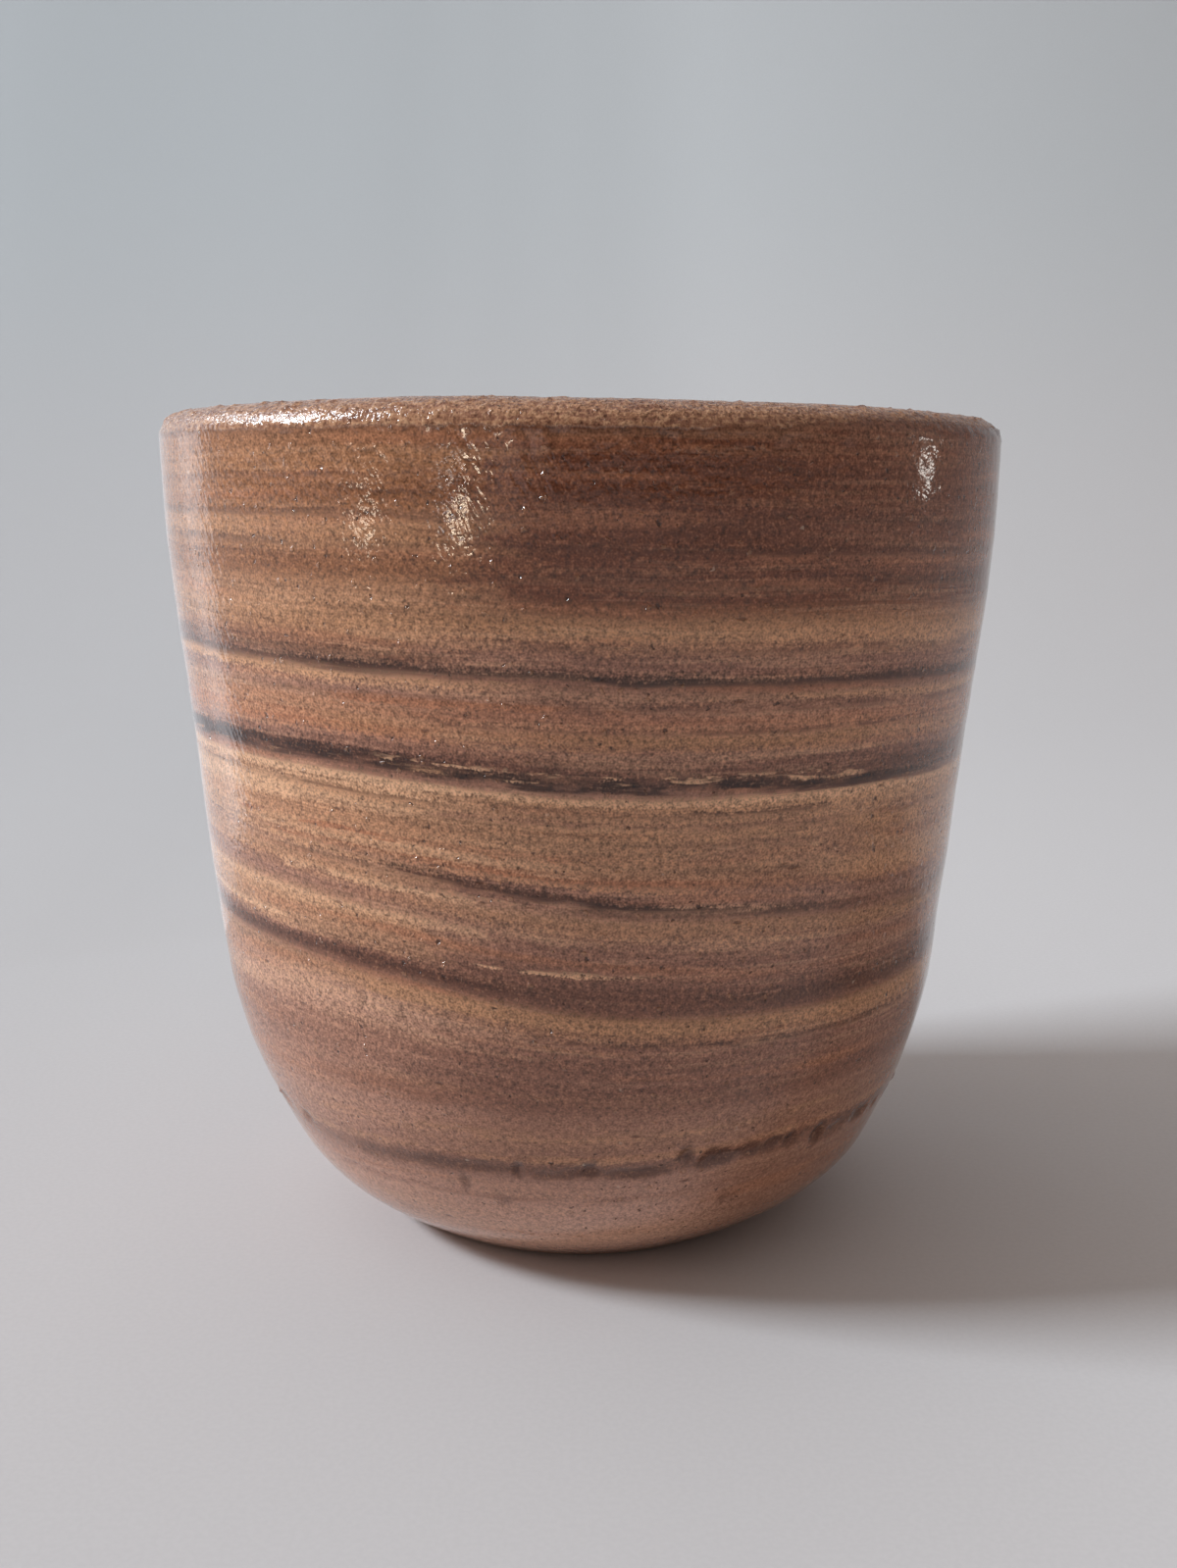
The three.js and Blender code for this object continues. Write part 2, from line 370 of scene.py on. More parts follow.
def shaped(name, p):
    """Positions in millimetres."""
    th, r, z = p["theta"], p["r"].copy(), p["z"].copy()
    d = relief(name, p)
    if name == "outer":
        front = np.degrees((th + math.pi / 2 + math.pi) % (2 * math.pi) - math.pi)
        stain = np.zeros_like(r)
        blur = perlin(r * np.cos(th) * 0.8, r * np.sin(th) * 0.8, z * 0.8) * 0.35
        for a, h, half, tall, depth, dark in PITS:
            dx = np.radians((front - a + 180) % 360 - 180) * r
            q = (dx / half) ** 2 + ((z - h) / tall) ** 2
            rim = 0.28 * np.exp(-((np.sqrt(q) - 1.35) / 0.3) ** 2)
            d -= 1.3 * depth * (np.exp(-q * 1.1) - rim * 0.5)
            broad = (dx / (1.2 * half)) ** 2 + ((z - h) / (1.25 * tall)) ** 2
            spot = (dark if h < 19.0 else 0.35 * dark) * (1 - smoothstep(broad * (1 + 1.8 * blur), 0.2, 2.0))
            stain = np.where(depth > 0, np.maximum(stain, spot), np.where(spot > 0.25, -spot, stain))
        p["pit"] = stain
    r = r + p["nr"] * d
    z = z + p["nz"] * d
    oval = 1 + 0.0016 * np.cos(2 * th + 0.7) * smoothstep(z, 10, 60) - 0.0016 * smoothstep(z, 10, 60)
    r = r * oval
    high = smoothstep(z, LIP_FALL_FROM_Z, RIM_EDGE_Z)
    z = z - high * LIP_FALL / 2 * (1 - np.cos(th - LIP_HIGH_AT))
    if name == "outer":
        wave = 0.07 * np.sin(3 * th + 1.0) + 0.05 * np.sin(7 * th + 2.2)
        z = z + smoothstep(p["edge"], -6, 1) * (wave - 0.08)
    if name == "inner":
        wave = 0.07 * np.sin(3 * th + 1.0) + 0.05 * np.sin(7 * th + 2.2)
        z = z + (1 - smoothstep(p["s"], 0, 8)) * (wave - 0.08)
    x, y = r * np.cos(th), r * np.sin(th)
    x = x + np.interp(z, [0, 8, 16, 35, 48, 60, 84], [0.0, 0.25, 0.05, -0.2, -0.15, 0.0, 0.02])
    return x, y, z


# ---------------------------------------------------------------------------------------------
# The mesh
# ---------------------------------------------------------------------------------------------
def build_mug():
    order = ["under", "outer", "inner"]
    start, total, coords, levels, edges, kinds, pits = {}, 0, [], [], [], [], []
    lo, hi = [1000.0 * v for v in cad_box[0]], [1000.0 * v for v in cad_box[1]]
    for name in order:
        p = parts[name]
        x, y, z = shaped(name, p)
        if name == "under":
            z = np.clip(z, 0.0, None)
        x, y = np.clip(x, lo[0] + 0.01, hi[0] - 0.01), np.clip(y, lo[1] + 0.01, hi[1] - 0.01)
        z = np.clip(z, lo[2], hi[2] - 0.01)
        start[name] = total
        total += x.size
        coords.append(np.column_stack([x.ravel(), y.ravel(), z.ravel()]))
        levels.append(p["level"].ravel())
        edges.append(p["edge"].ravel())
        pits.append(p["pit"].ravel() if name == "outer" else np.zeros(x.size))
        kinds.append(np.full(x.size, {"under": 0.0, "outer": 1.0, "inner": 2.0}[name]))
    coords = np.vstack(coords)
    centre_under, centre_inner = total, total + 1
    coords = np.vstack([coords, [[0, 0, FOOT_RECESS], [0, 0, FLOOR_TOP_Z + 0.35]]]) / 1000.0
    levels = np.concatenate(levels + [np.array([parts["under"]["level"].min(), parts["inner"]["level"].min()])])
    edges = np.concatenate(edges + [np.array([parts["under"]["edge"].min(), parts["inner"]["edge"].max()])])
    kinds = np.concatenate(kinds + [np.array([0.0, 2.0])])
    pits = np.concatenate(pits + [np.zeros(2)])

    faces, uvs = [], []
    SCALE = 1.0 / 282.0  # of the map's width, per millimetre

    def strip_uv(name, row, col, n):
        """Where a ring's vertex lies on the map. The outside and inside are strips, the two floors discs."""
        p = parts[name]
        if name == "outer":
            return (0.008 + col / n * 0.984, 0.01 + p["s"][row, 0] * SCALE)
        if name == "inner" and p["r"][row, 0] > 25.0:
            return (0.008 + col / n * 0.88, 0.40 + p["s"][row, 0] * SCALE)
        a = 2 * math.pi * col / n
        middle = (0.115, 0.86) if name == "inner" else (0.36, 0.86)
        radius = p["r"][row, 0] * SCALE * 1.12
        return (middle[0] + radius * math.cos(a), middle[1] + radius * math.sin(a))

    for name in order:
        n, rows = parts[name]["n"], parts[name]["r"].shape[0]
        base = start[name]
        for i in range(rows - 1):
            # a quad belongs to one patch of the map, so both of its rows are read from that patch
            disc = name == "under" or (name == "inner" and parts[name]["r"][i + 1, 0] <= 25.0)
            for j in range(n):
                k = (j + 1) % n
                faces.append((base + i * n + j, base + i * n + k, base + (i + 1) * n + k, base + (i + 1) * n + j))
                if name == "inner" and disc:
                    middle = (0.115, 0.86)
                    quad = []
                    for row, col in ((i, j), (i, j + 1), (i + 1, j + 1), (i + 1, j)):
                        a = 2 * math.pi * col / n
                        radius = parts[name]["r"][row, 0] * SCALE * 1.12
                        quad.append((middle[0] + radius * math.cos(a), middle[1] + radius * math.sin(a)))
                    uvs.extend(quad)
                else:
                    uvs.extend([strip_uv(name, i, j, n), strip_uv(name, i, j + 1, n),
                                strip_uv(name, i + 1, j + 1, n), strip_uv(name, i + 1, j, n)])

    def bridge(coarse, coarse_row, fine, fine_row, flip):
        """Joins a ring to one with more vertices."""
        nc, nf = parts[coarse]["n"], parts[fine]["n"]
        k = nf // nc
        bc = start[coarse] + coarse_row * nc
        bf = start[fine] + fine_row * nf
        # the map places of the coarse ring continue the fine one's strip
        gap = 0.35
        v_fine = 0.01 + parts["outer"]["s"][fine_row, 0] * SCALE
        v_coarse = v_fine + (gap if flip else -gap) * SCALE * 2

        def put(*corners):
            ids, places = [], []
            for kind, index in corners:
                if kind == "c":
                    ids.append(bc + index % nc)
                    places.append((0.008 + index / nc * 0.984, v_coarse))
                else:
                    ids.append(bf + index % nf)
                    places.append((0.008 + index / nf * 0.984, v_fine))
            if flip:
                ids, places = ids[::-1], places[::-1]
            faces.append(tuple(ids))
            uvs.extend(places)

        for i in range(nc):
            mid = i * k + k // 2
            for j in range(i * k, mid):
                put(("c", i), ("f", j + 1), ("f", j))
            put(("c", i), ("c", i + 1), ("f", mid))
            for j in range(mid, (i + 1) * k):
                put(("c", i + 1), ("f", j + 1), ("f", j))

    bridge("under", parts["under"]["r"].shape[0] - 1, "outer", 0, False)
    bridge("inner", 0, "outer", parts["outer"]["r"].shape[0] - 1, True)
    for name, hub, middle, sign in (("under", centre_under, (0.36, 0.86), -1), ("inner", centre_inner, (0.115, 0.86), 1)):
        n = parts[name]["n"]
        row = 0 if name == "under" else parts[name]["r"].shape[0] - 1
        base = start[name] + row * n
        radius = parts[name]["r"][row, 0] * SCALE * 1.12
        for j in range(n):
            k = (j + 1) % n
            ids = (hub, base + j, base + k) if sign > 0 else (hub, base + k, base + j)
            spots = [middle] + [(middle[0] + radius * math.cos(2 * math.pi * q / n), middle[1] + radius * math.sin(2 * math.pi * q / n))
                                for q in ((j, j + 1) if sign > 0 else (j + 1, j))]
            faces.append(ids)
            uvs.extend(spots)

    mesh = bpy.data.meshes.new("mug_body")
    mesh.from_pydata([tuple(c) for c in coords], [], faces)
    layer = mesh.uv_layers.new(name="OFBake")
    layer.data.foreach_set("uv", np.array(uvs, dtype=np.float32).ravel())
    for label, values in (("level", levels), ("edge", edges), ("kind", kinds), ("pit", pits)):
        a = mesh.attributes.new(label, "FLOAT", "POINT")
        a.data.foreach_set("value", values.astype(np.float32))
    mesh.polygons.foreach_set("use_smooth", np.ones(len(mesh.polygons), dtype=bool))
    mesh.update()
    print("mug_body", len(mesh.vertices), "vertices", sum(len(f.vertices) - 2 for f in mesh.polygons), "triangles", "valid" if not mesh.validate(verbose=False) else "repaired")
    ob = bpy.data.objects.new("mug_body", mesh)
    bpy.context.scene.collection.objects.link(ob)
    return ob


mug = build_mug()


# ---------------------------------------------------------------------------------------------
# Colours and a small kit for building materials
# ---------------------------------------------------------------------------------------------
def colour(r, g, b):
    def lin(v):
        v /= 255.0
        return v / 12.92 if v <= 0.04045 else ((v + 0.055) / 1.055) ** 2.4

    return (lin(r), lin(g), lin(b), 1.0)


# the clays of the body, by name, from pale to dark
CREAM = colour(218, 170, 133)
PINK = colour(206, 160, 140)
BUFF = colour(200, 149, 112)
SAND = colour(181, 133, 102)
GOLD = colour(175, 125, 89)
TERRA = colour(176, 116, 84)
ROSE = colour(165, 118, 97)
RUSSET = colour(153, 101, 68)
MAUVE = colour(146, 100, 81)
COCOA = colour(118, 75, 58)
CHOC = colour(118, 68, 46)
UMBER = colour(86, 50, 36)
CHAR = colour(54, 28, 20)


def between(a, b, t):
    return tuple(p * (1 - t) + q * t for p, q in zip(a, b))


class Kit:
    """Adds nodes to a material. Sockets and plain numbers can both be given as inputs."""

    def __init__(self, name):
        self.mat = bpy.data.materials.new(name)
        self.mat.use_nodes = True
        self.tree = self.mat.node_tree
        self.tree.nodes.clear()

    def node(self, kind, **settings):
        n = self.tree.nodes.new(kind)
        for k, v in settings.items():
            setattr(n, k, v)
        return n

    def feed(self, socket, value):
        if isinstance(value, bpy.types.NodeSocket):
            self.tree.links.new(value, socket)
        else:
            socket.default_value = value

    def math(self, op, a, b=None, c=None, clamp=False):
        n = self.node("ShaderNodeMath", operation=op, use_clamp=clamp)
        for i, v in enumerate((a, b, c)):
            if v is not None:
                self.feed(n.inputs[i], v)
        return n.outputs[0]

    def add(self, a, b): return self.math("ADD", a, b)
    def sub(self, a, b): return self.math("SUBTRACT", a, b)
    def mul(self, a, b): return self.math("MULTIPLY", a, b)

    def total(self, *values):
        out = values[0]
        for v in values[1:]:
            out = self.add(out, v)
        return out

    def product(self, *values):
        out = values[0]
        for v in values[1:]:
            out = self.mul(out, v)
        return out

    def step(self, x, lo, hi, to_lo=0.0, to_hi=1.0):
        """Smooth run from to_lo at lo to to_hi at hi. lo may be the larger."""
        n = self.node("ShaderNodeMapRange", interpolation_type="SMOOTHSTEP", clamp=True)
        if lo > hi:
            lo, hi, to_lo, to_hi = hi, lo, to_hi, to_lo
        for i, v in enumerate((x, lo, hi, to_lo, to_hi)):
            self.feed(n.inputs[i], v)
        return n.outputs[0]

    def xyz(self, x, y, z):
        n = self.node("ShaderNodeCombineXYZ")
        for i, v in enumerate((x, y, z)):
            self.feed(n.inputs[i], v)
        return n.outputs[0]

    def noise(self, vector, scale=1.0, detail=2.0, rough=0.5, distortion=0.0):
        n = self.node("ShaderNodeTexNoise", noise_dimensions="3D")
        self.feed(n.inputs["Vector"], vector)
        n.inputs["Scale"].default_value = scale
        n.inputs["Detail"].default_value = detail
        n.inputs["Roughness"].default_value = rough
        n.inputs["Distortion"].default_value = distortion
        return n.outputs[0]

    def voronoi(self, vector, scale=1.0, randomness=1.0, feature="F1"):
        n = self.node("ShaderNodeTexVoronoi", feature=feature)
        self.feed(n.inputs["Vector"], vector)
        n.inputs["Scale"].default_value = scale
        n.inputs["Randomness"].default_value = randomness
        return n

    def mix(self, amount, a, b, blend="MIX"):
        n = self.node("ShaderNodeMix", data_type="RGBA", blend_type=blend)
        n.clamp_factor = True
        self.feed(n.inputs[0], amount)
        self.feed(n.inputs[6], a)
        self.feed(n.inputs[7], b)
        return n.outputs[2]

    def ramp(self, x, lo, hi, stops):
        """stops: (position in the units of x, colour). At most 32."""
        scaled = self.math("DIVIDE", self.sub(x, lo), hi - lo, clamp=True)
        n = self.node("ShaderNodeValToRGB")
        n.color_ramp.interpolation = "EASE"
        e = n.color_ramp.elements
        while len(e) > 1:
            e.remove(e[-1])
        for i, (at, c) in enumerate(stops):
            s = e[0] if i == 0 else e.new((at - lo) / (hi - lo))
            s.position = (at - lo) / (hi - lo)
            s.color = c
        self.tree.links.new(scaled, n.inputs[0])
        return n.outputs[0]


# ---------------------------------------------------------------------------------------------
# Marbled clay under clear glaze
# ---------------------------------------------------------------------------------------------
def make_clay():
    k = Kit("marbled_clay_glazed")
    coord = k.node("ShaderNodeTexCoord").outputs["Object"]
    scaled = k.node("ShaderNodeVectorMath", operation="SCALE")
    k.tree.links.new(coord, scaled.inputs[0])
    scaled.inputs["Scale"].default_value = 1000.0
    P = scaled.outputs[0]
    split = k.node("ShaderNodeSeparateXYZ")
    k.tree.links.new(P, split.inputs[0])
    x, y, z = split.outputs

    def attribute(name):
        return k.node("ShaderNodeAttribute", attribute_name=name).outputs["Fac"]

    m, edge, kind, pit = attribute("level"), attribute("edge"), attribute("kind"), attribute("pit")
    # angle from the front, to the right
    front = k.math("ARCTAN2", x, k.mul(y, -1.0))

    # streaks that run along the bands: a is how short they are, b how thin
    def along(a, b, ox=0.0):
        return k.xyz(k.math("MULTIPLY_ADD", x, a, ox), k.mul(y, a), k.mul(m, b))

    broad = k.noise(along(0.016, 0.24, 3.1), 1.0, 2.0, 0.5)
    mid = k.noise(along(0.034, 0.70, 7.7), 1.0, 3.0, 0.6)
    fine = k.noise(along(0.060, 1.9, 11.3), 1.0, 3.0, 0.62)
    hair = k.noise(along(0.16, 4.2, 23.9), 1.0, 2.0, 0.6)
    torn = k.noise(along(0.22, 1.0, 5.9), 1.0, 3.0, 0.6)
    blotch = k.noise(P, 0.11, 2.0, 0.55)
    grain = k.noise(P, 2.3, 1.0, 0.65)
    sand = k.noise(P, 5.2, 0.0, 0.5)
    grit = k.total(grain, k.mul(sand, 0.7), -0.85)

    # the heights that the clays are read at, feathered along the streaks and by the sand
    v = k.total(m, k.math("MULTIPLY_ADD", mid, 1.5, -0.75), k.math("MULTIPLY_ADD", fine, 0.9, -0.45), k.mul(grit, 1.15))
    line = k.total(m, k.math("MULTIPLY_ADD", fine, 1.0, -0.5), k.math("MULTIPLY_ADD", torn, 0.7, -0.35), k.mul(grit, 0.6))

    def two_ramps(join, low, high):
        a = k.ramp(v, low[0][0], join, low)
        b = k.ramp(v, join, high[-1][0], high)
        return k.mix(k.math("GREATER_THAN", v, join), a, b)

    centre = two_ramps(44.0, [
        (-22.0, SAND), (-15.0, ROSE), (-8.0, SAND), (2.0, PINK), (6.5, between(PINK, BUFF, 0.4)), (10.0, between(PINK, ROSE, 0.25)), (13.5, between(ROSE, PINK, 0.35)),
        (16.5, between(MAUVE, ROSE, 0.8)), (18.5, between(ROSE, SAND, 0.3)), (21.0, ROSE), (23.5, MAUVE), (26.0, between(MAUVE, ROSE, 0.3)),
        (28.8, between(MAUVE, ROSE, 0.4)), (30.4, between(ROSE, GOLD, 0.6)), (32.0, GOLD), (33.0, between(COCOA, MAUVE, 0.8)),
        (35.4, MAUVE), (37.2, between(MAUVE, ROSE, 0.4)), (39.4, between(MAUVE, ROSE, 0.7)), (41.0, between(GOLD, SAND, 0.5)),
        (42.4, between(MAUVE, ROSE, 0.6)), (44.0, ROSE)],
        [(44.0, ROSE), (45.0, between(TERRA, SAND, 0.5)), (46.5, between(SAND, BUFF, 0.35)), (49.2, between(SAND, BUFF, 0.9)), (51.0, between(SAND, BUFF, 0.3)), (52.2, BUFF),
         (53.2, ROSE), (54.8, between(COCOA, MAUVE, 0.4)), (56.8, between(MAUVE, ROSE, 0.5)), (57.9, between(SAND, TERRA, 0.4)),
         (60.0, between(TERRA, ROSE, 0.5)), (62.0, between(ROSE, SAND, 0.4)), (63.3, MAUVE), (64.8, between(MAUVE, ROSE, 0.5)), (66.4, between(GOLD, ROSE, 0.5)),
         (67.8, GOLD), (69.2, between(RUSSET, CHOC, 0.4)), (70.4, CHOC), (74.0, CHOC), (77.0, between(CHOC, COCOA, 0.3)), (80.0, CHOC),
         (88.0, between(CHOC, COCOA, 0.3))])
    left = two_ramps(48.5, [
        (0.0, PINK), (8.0, between(PINK, SAND, 0.4)), (12.0, between(PINK, ROSE, 0.5)), (15.0, ROSE), (20.0, between(ROSE, PINK, 0.3)), (26.0, ROSE), (29.5, between(SAND, PINK, 0.5)),
        (31.8, SAND), (32.8, MAUVE), (34.0, MAUVE), (35.6, SAND), (38.6, between(SAND, BUFF, 0.7)), (40.6, ROSE), (42.4, between(SAND, BUFF, 0.5)),
        (44.2, between(ROSE, SAND, 0.6)), (46.4, between(SAND, BUFF, 0.6)), (48.5, between(BUFF, TERRA, 0.3))],
        [(48.5, between(BUFF, TERRA, 0.3)), (49.9, between(BUFF, CREAM, 0.6)), (51.0, BUFF), (52.2, CREAM), (53.4, MAUVE),
         (54.6, COCOA), (56.0, ROSE), (57.6, TERRA), (59.6, SAND), (61.4, ROSE), (62.6, BUFF), (63.6, MAUVE), (65.0, between(RUSSET, ROSE, 0.4)),
         (67.2, GOLD), (69.8, between(GOLD, SAND, 0.4)), (72.4, RUSSET), (75.4, GOLD), (78.4, RUSSET), (81.0, between(RUSSET, GOLD, 0.5)),
         (88.0, between(RUSSET, ROSE, 0.5))])
    flank = k.step(k.total(x, k.math("MULTIPLY_ADD", torn, 22.0, -11.0), k.step(v, 66.0, 70.0, 0.0, -4.5)), -6.0, -21.0)
    base = k.mix(flank, centre, left)
    # the right of the dark top is a shade paler, and so is the clay round the right of the belly
    right = k.product(k.step(front, math.radians(12.0), math.radians(40.0)), k.step(front, math.radians(150.0), math.radians(110.0)))
    base = k.mix(k.product(right, k.step(v, 71.0, 74.0), 0.45), base, between(COCOA, MAUVE, 0.6))
    base = k.mix(k.product(k.step(front, math.radians(10.0), math.radians(34.0)), k.step(front, math.radians(150.0), math.radians(110.0)),
                           k.step(z, 23.0, 11.0), 0.85), base, between(RUSSET, MAUVE, 0.5))

    # streaks of paler and darker clay, from broad to hair-thin
    tone = k.total(k.math("MULTIPLY_ADD", broad, 1.1, -0.55), k.math("MULTIPLY_ADD", mid, 1.5, -0.75),
                   k.math("MULTIPLY_ADD", fine, 1.5, -0.75), k.math("MULTIPLY_ADD", hair, 0.9, -0.45))
    tone = k.mul(tone, k.step(m, 20.0, 32.0, 0.4, 0.9))
    base = k.mix(k.math("MULTIPLY", tone, k.step(m, 68.0, 73.0, 0.9, 0.4), clamp=True), base, CREAM)
    base = k.mix(k.math("MULTIPLY", tone, -0.75, clamp=True), base, UMBER)
    base = k.mix(k.step(k.noise(along(0.028, 0.5, 51.0), 1.0, 2.0, 0.5), 0.54, 0.74, 0.0, 0.6), base, TERRA)

    # the same angle with a ragged edge, so that streaks tear out instead of stopping; and from the back
    ragged = k.math("MULTIPLY_ADD", torn, 0.56, -0.28)
    from_front = k.add(front, ragged)
    from_back = k.add(k.math("ARCTAN2", k.mul(x, -1.0), y), ragged)

    shade = [base]
    # fields that make a streak come and go along its length
    swell = {"a": k.step(k.noise(along(0.05, 0.5, 61.0), 1.0, 2.0, 0.55), 0.34, 0.60, 0.25, 1.0),
             "b": k.step(torn, 0.36, 0.58, 0.1, 1.0),
             "c": k.step(mid, 0.40, 0.58, 0.15, 1.0),
             "d": k.step(k.noise(along(0.40, 1.5, 21.0), 1.0, 2.0, 0.55), 0.50, 0.60),
             "e": k.step(k.noise(along(0.24, 1.1, 37.0), 1.0, 2.0, 0.5), 0.53, 0.63)}

    laid = {"count": 0}

    def drag():
        """The next streaks are drawn out of true by the clay laid so far: darker clay pulls them down."""
        weight = k.node("ShaderNodeRGBToBW")
        k.tree.links.new(shade[0], weight.inputs[0])
        laid["line"] = k.add(line, k.math("MULTIPLY_ADD", weight.outputs[0], 0.7, -0.15))
        pull = k.math("MULTIPLY_ADD", weight.outputs[0], 0.4, -0.09)
        laid["front"], laid["back"] = k.add(from_front, pull), k.add(from_back, pull)

    def streak(at, half, soft, clay, strength, window=None, slope=0.0, swells=None, side="front"):
        """One streak of clay along the bands. at: its height at the front. window: from, to and fade, in degrees."""
        if laid["count"] % 10 == 0:
            drag()
        laid["count"] += 1
        angle = laid[side]
        middle = k.math("MULTIPLY_ADD", angle, slope, at) if slope else at
        away = k.math("ABSOLUTE", k.sub(laid["line"], middle))
        amount = k.step(away, half + soft, max(half - soft * 0.5, 0.0), 0.0, strength)
        if window:
            a, b, fade = (math.radians(t) for t in window)
            across = k.math("ABSOLUTE", k.sub(angle, (a + b) / 2))
            amount = k.mul(amount, k.step(across, (b - a) / 2 + fade, (b - a) / 2))
        if swells:
            amount = k.mul(amount, swell[swells])
        shade[0] = k.mix(amount, shade[0], clay)

    # below the top: pale band, then the seam at 63 mm with a pale line under it on the left
    streak(68.0, 0.9, 1.0, BUFF, 0.32, (-90, 60, 20), swells="a")
    streak(67.4, 0.35, 0.5, BUFF, 0.7, (28, 90, 14))
    streak(66.2, 0.25, 0.35, COCOA, 0.6, (-8, 60, 14), swells="b")
    streak(64.6, 0.3, 0.5, UMBER, 0.55, (-80, -26, 16))
    streak(63.5, 0.3, 0.6, CHAR, 0.62, (-85, -30, 14))
    streak(63.6, 0.20, 0.6, CHAR, 0.72, (-30, 8, 12))
    streak(63.4, 0.26, 0.6, CHAR, 0.75, (8, 42, 10))
    streak(63.4, 0.2, 0.45, UMBER, 0.8, (42, 85, 12))
    streak(62.5, 0.14, 0.3, BUFF, 0.6, (-90, -14, 12))
    streak(62.0, 0.22, 0.35, BUFF, 0.7, (26, 85, 12))
    streak(61.2, 0.25, 0.35, COCOA, 0.7, (6, 60, 14), swells="b")
    streak(60.6, 0.25, 0.3, TERRA, 0.9, (-26, -4, 8))
    streak(59.5, 0.5, 0.6, TERRA, 0.5, (-60, 40, 16), swells="c")
    streak(59.0, 0.18, 0.3, COCOA, 0.7, (-6, 50, 14), swells="b")
    streak(57.9, 0.6, 0.6, GOLD, 0.8, (-24, 32, 14), swells="a")
    streak(57.6, 0.5, 0.6, TERRA, 0.45, (-70, -26, 14))

    # the torn dark seam at 54 mm, with cream flecks in it, and the cream line under it
    streak(55.2, 0.8, 0.9, COCOA, 0.55, (-44, 70, 20), swells="a")
    streak(54.4, 0.6, 0.6, UMBER, 0.6, (-95, 50, 16), swells="a")
    streak(54.9, 0.36, 0.4, CHAR, 0.75, (-95, -26, 14), swells="b")
    streak(54.2, 0.40, 0.4, CHAR, 0.85, (-80, 18, 12), swells="b")
    streak(53.6, 0.3, 0.3, CHAR, 0.9, (-12, 40, 10), swells="b")
    streak(53.3, 0.32, 0.4, CHAR, 0.85, (34, 90, 10), swells="a")
    streak(54.7, 0.16, 0.2, CREAM, 0.8, (-24, 28, 8), swells="d")
    streak(54.1, 0.24, 0.22, CREAM, 0.85, (-10, 30, 8), swells="e")
    streak(54.0, 0.18, 0.2, BUFF, 0.6, (-70, -20, 10), swells="e")
    streak(52.45, 0.24, 0.24, CREAM, 0.85, (-95, 28, 14))
    streak(52.45, 0.26, 0.24, CREAM, 0.95, (28, 90, 12))
    streak(51.3, 0.12, 0.34, UMBER, 0.7, (-60, 26, 12), swells="c")
    streak(50.3, 0.2, 0.3, MAUVE, 0.6, (-10, 60, 12), swells="b")

    # sandy ground down to the seam at 43 mm
    streak(50.0, 0.9, 0.8, CREAM, 0.55, (-85, -44, 14))
    streak(48.2, 1.3, 0.8, MAUVE, 0.4, (24, 60, 14), swells="b")
    streak(48.0, 0.3, 0.3, CREAM, 0.6, (20, 50, 10), swells="e")
    streak(46.9, 0.2, 0.25, TERRA, 0.9, (-44, -8, 10), swells="e")
    streak(45.9, 0.18, 0.25, CREAM, 0.5, (-46, -10, 10), swells="e")
    streak(45.2, 0.20, 0.25, TERRA, 0.95, (-40, 18, 10), swells="c")
    streak(44.6, 0.14, 0.2, between(TERRA, CREAM, 0.4), 0.8, (-14, 14, 8))
    streak(46.0, 0.7, 0.7, BUFF, 0.6, (40, 85, 12))
    streak(44.2, 0.3, 0.4, COCOA, 0.5, (-34, -10, 8), swells="b")
    streak(43.3, 0.34, 0.5, UMBER, 0.85, (-22, 6, 8), slope=-1.2)
    streak(43.2, 0.18, 0.3, CHAR, 0.7, (-38, 14, 8), slope=-1.0, swells="c")
    streak(42.4, 0.3, 0.5, UMBER, 0.5, (4, 36, 10), swells="a")
    streak(42.8, 0.3, 0.4, UMBER, 0.75, (30, 66, 8), swells="c")
    streak(43.3, 0.2, 0.3, BUFF, 0.8, (-85, -34, 12), slope=-1.9)
    streak(42.0, 0.22, 0.3, CREAM, 0.7, (-36, -16, 8))
    streak(41.0, 0.5, 0.6, SAND, 0.7, (-16, 40, 14))
    streak(41.6, 0.35, 0.4, MAUVE, 0.6, (-80, -44, 10))
    streak(39.0, 0.32, 0.45, CREAM, 0.6, (-85, -16, 12))
    streak(38.6, 0.5, 0.6, MAUVE, 0.4, (0, 60, 14), swells="b")
    streak(36.3, 0.14, 0.2, CREAM, 0.9, (-8, 1, 4), slope=2.0)
    streak(37.0, 0.4, 0.4, TERRA, 0.5, (-46, -20, 10), swells="c")
    streak(35.6, 0.2, 0.3, CREAM, 0.8, (-95, -50, 10))

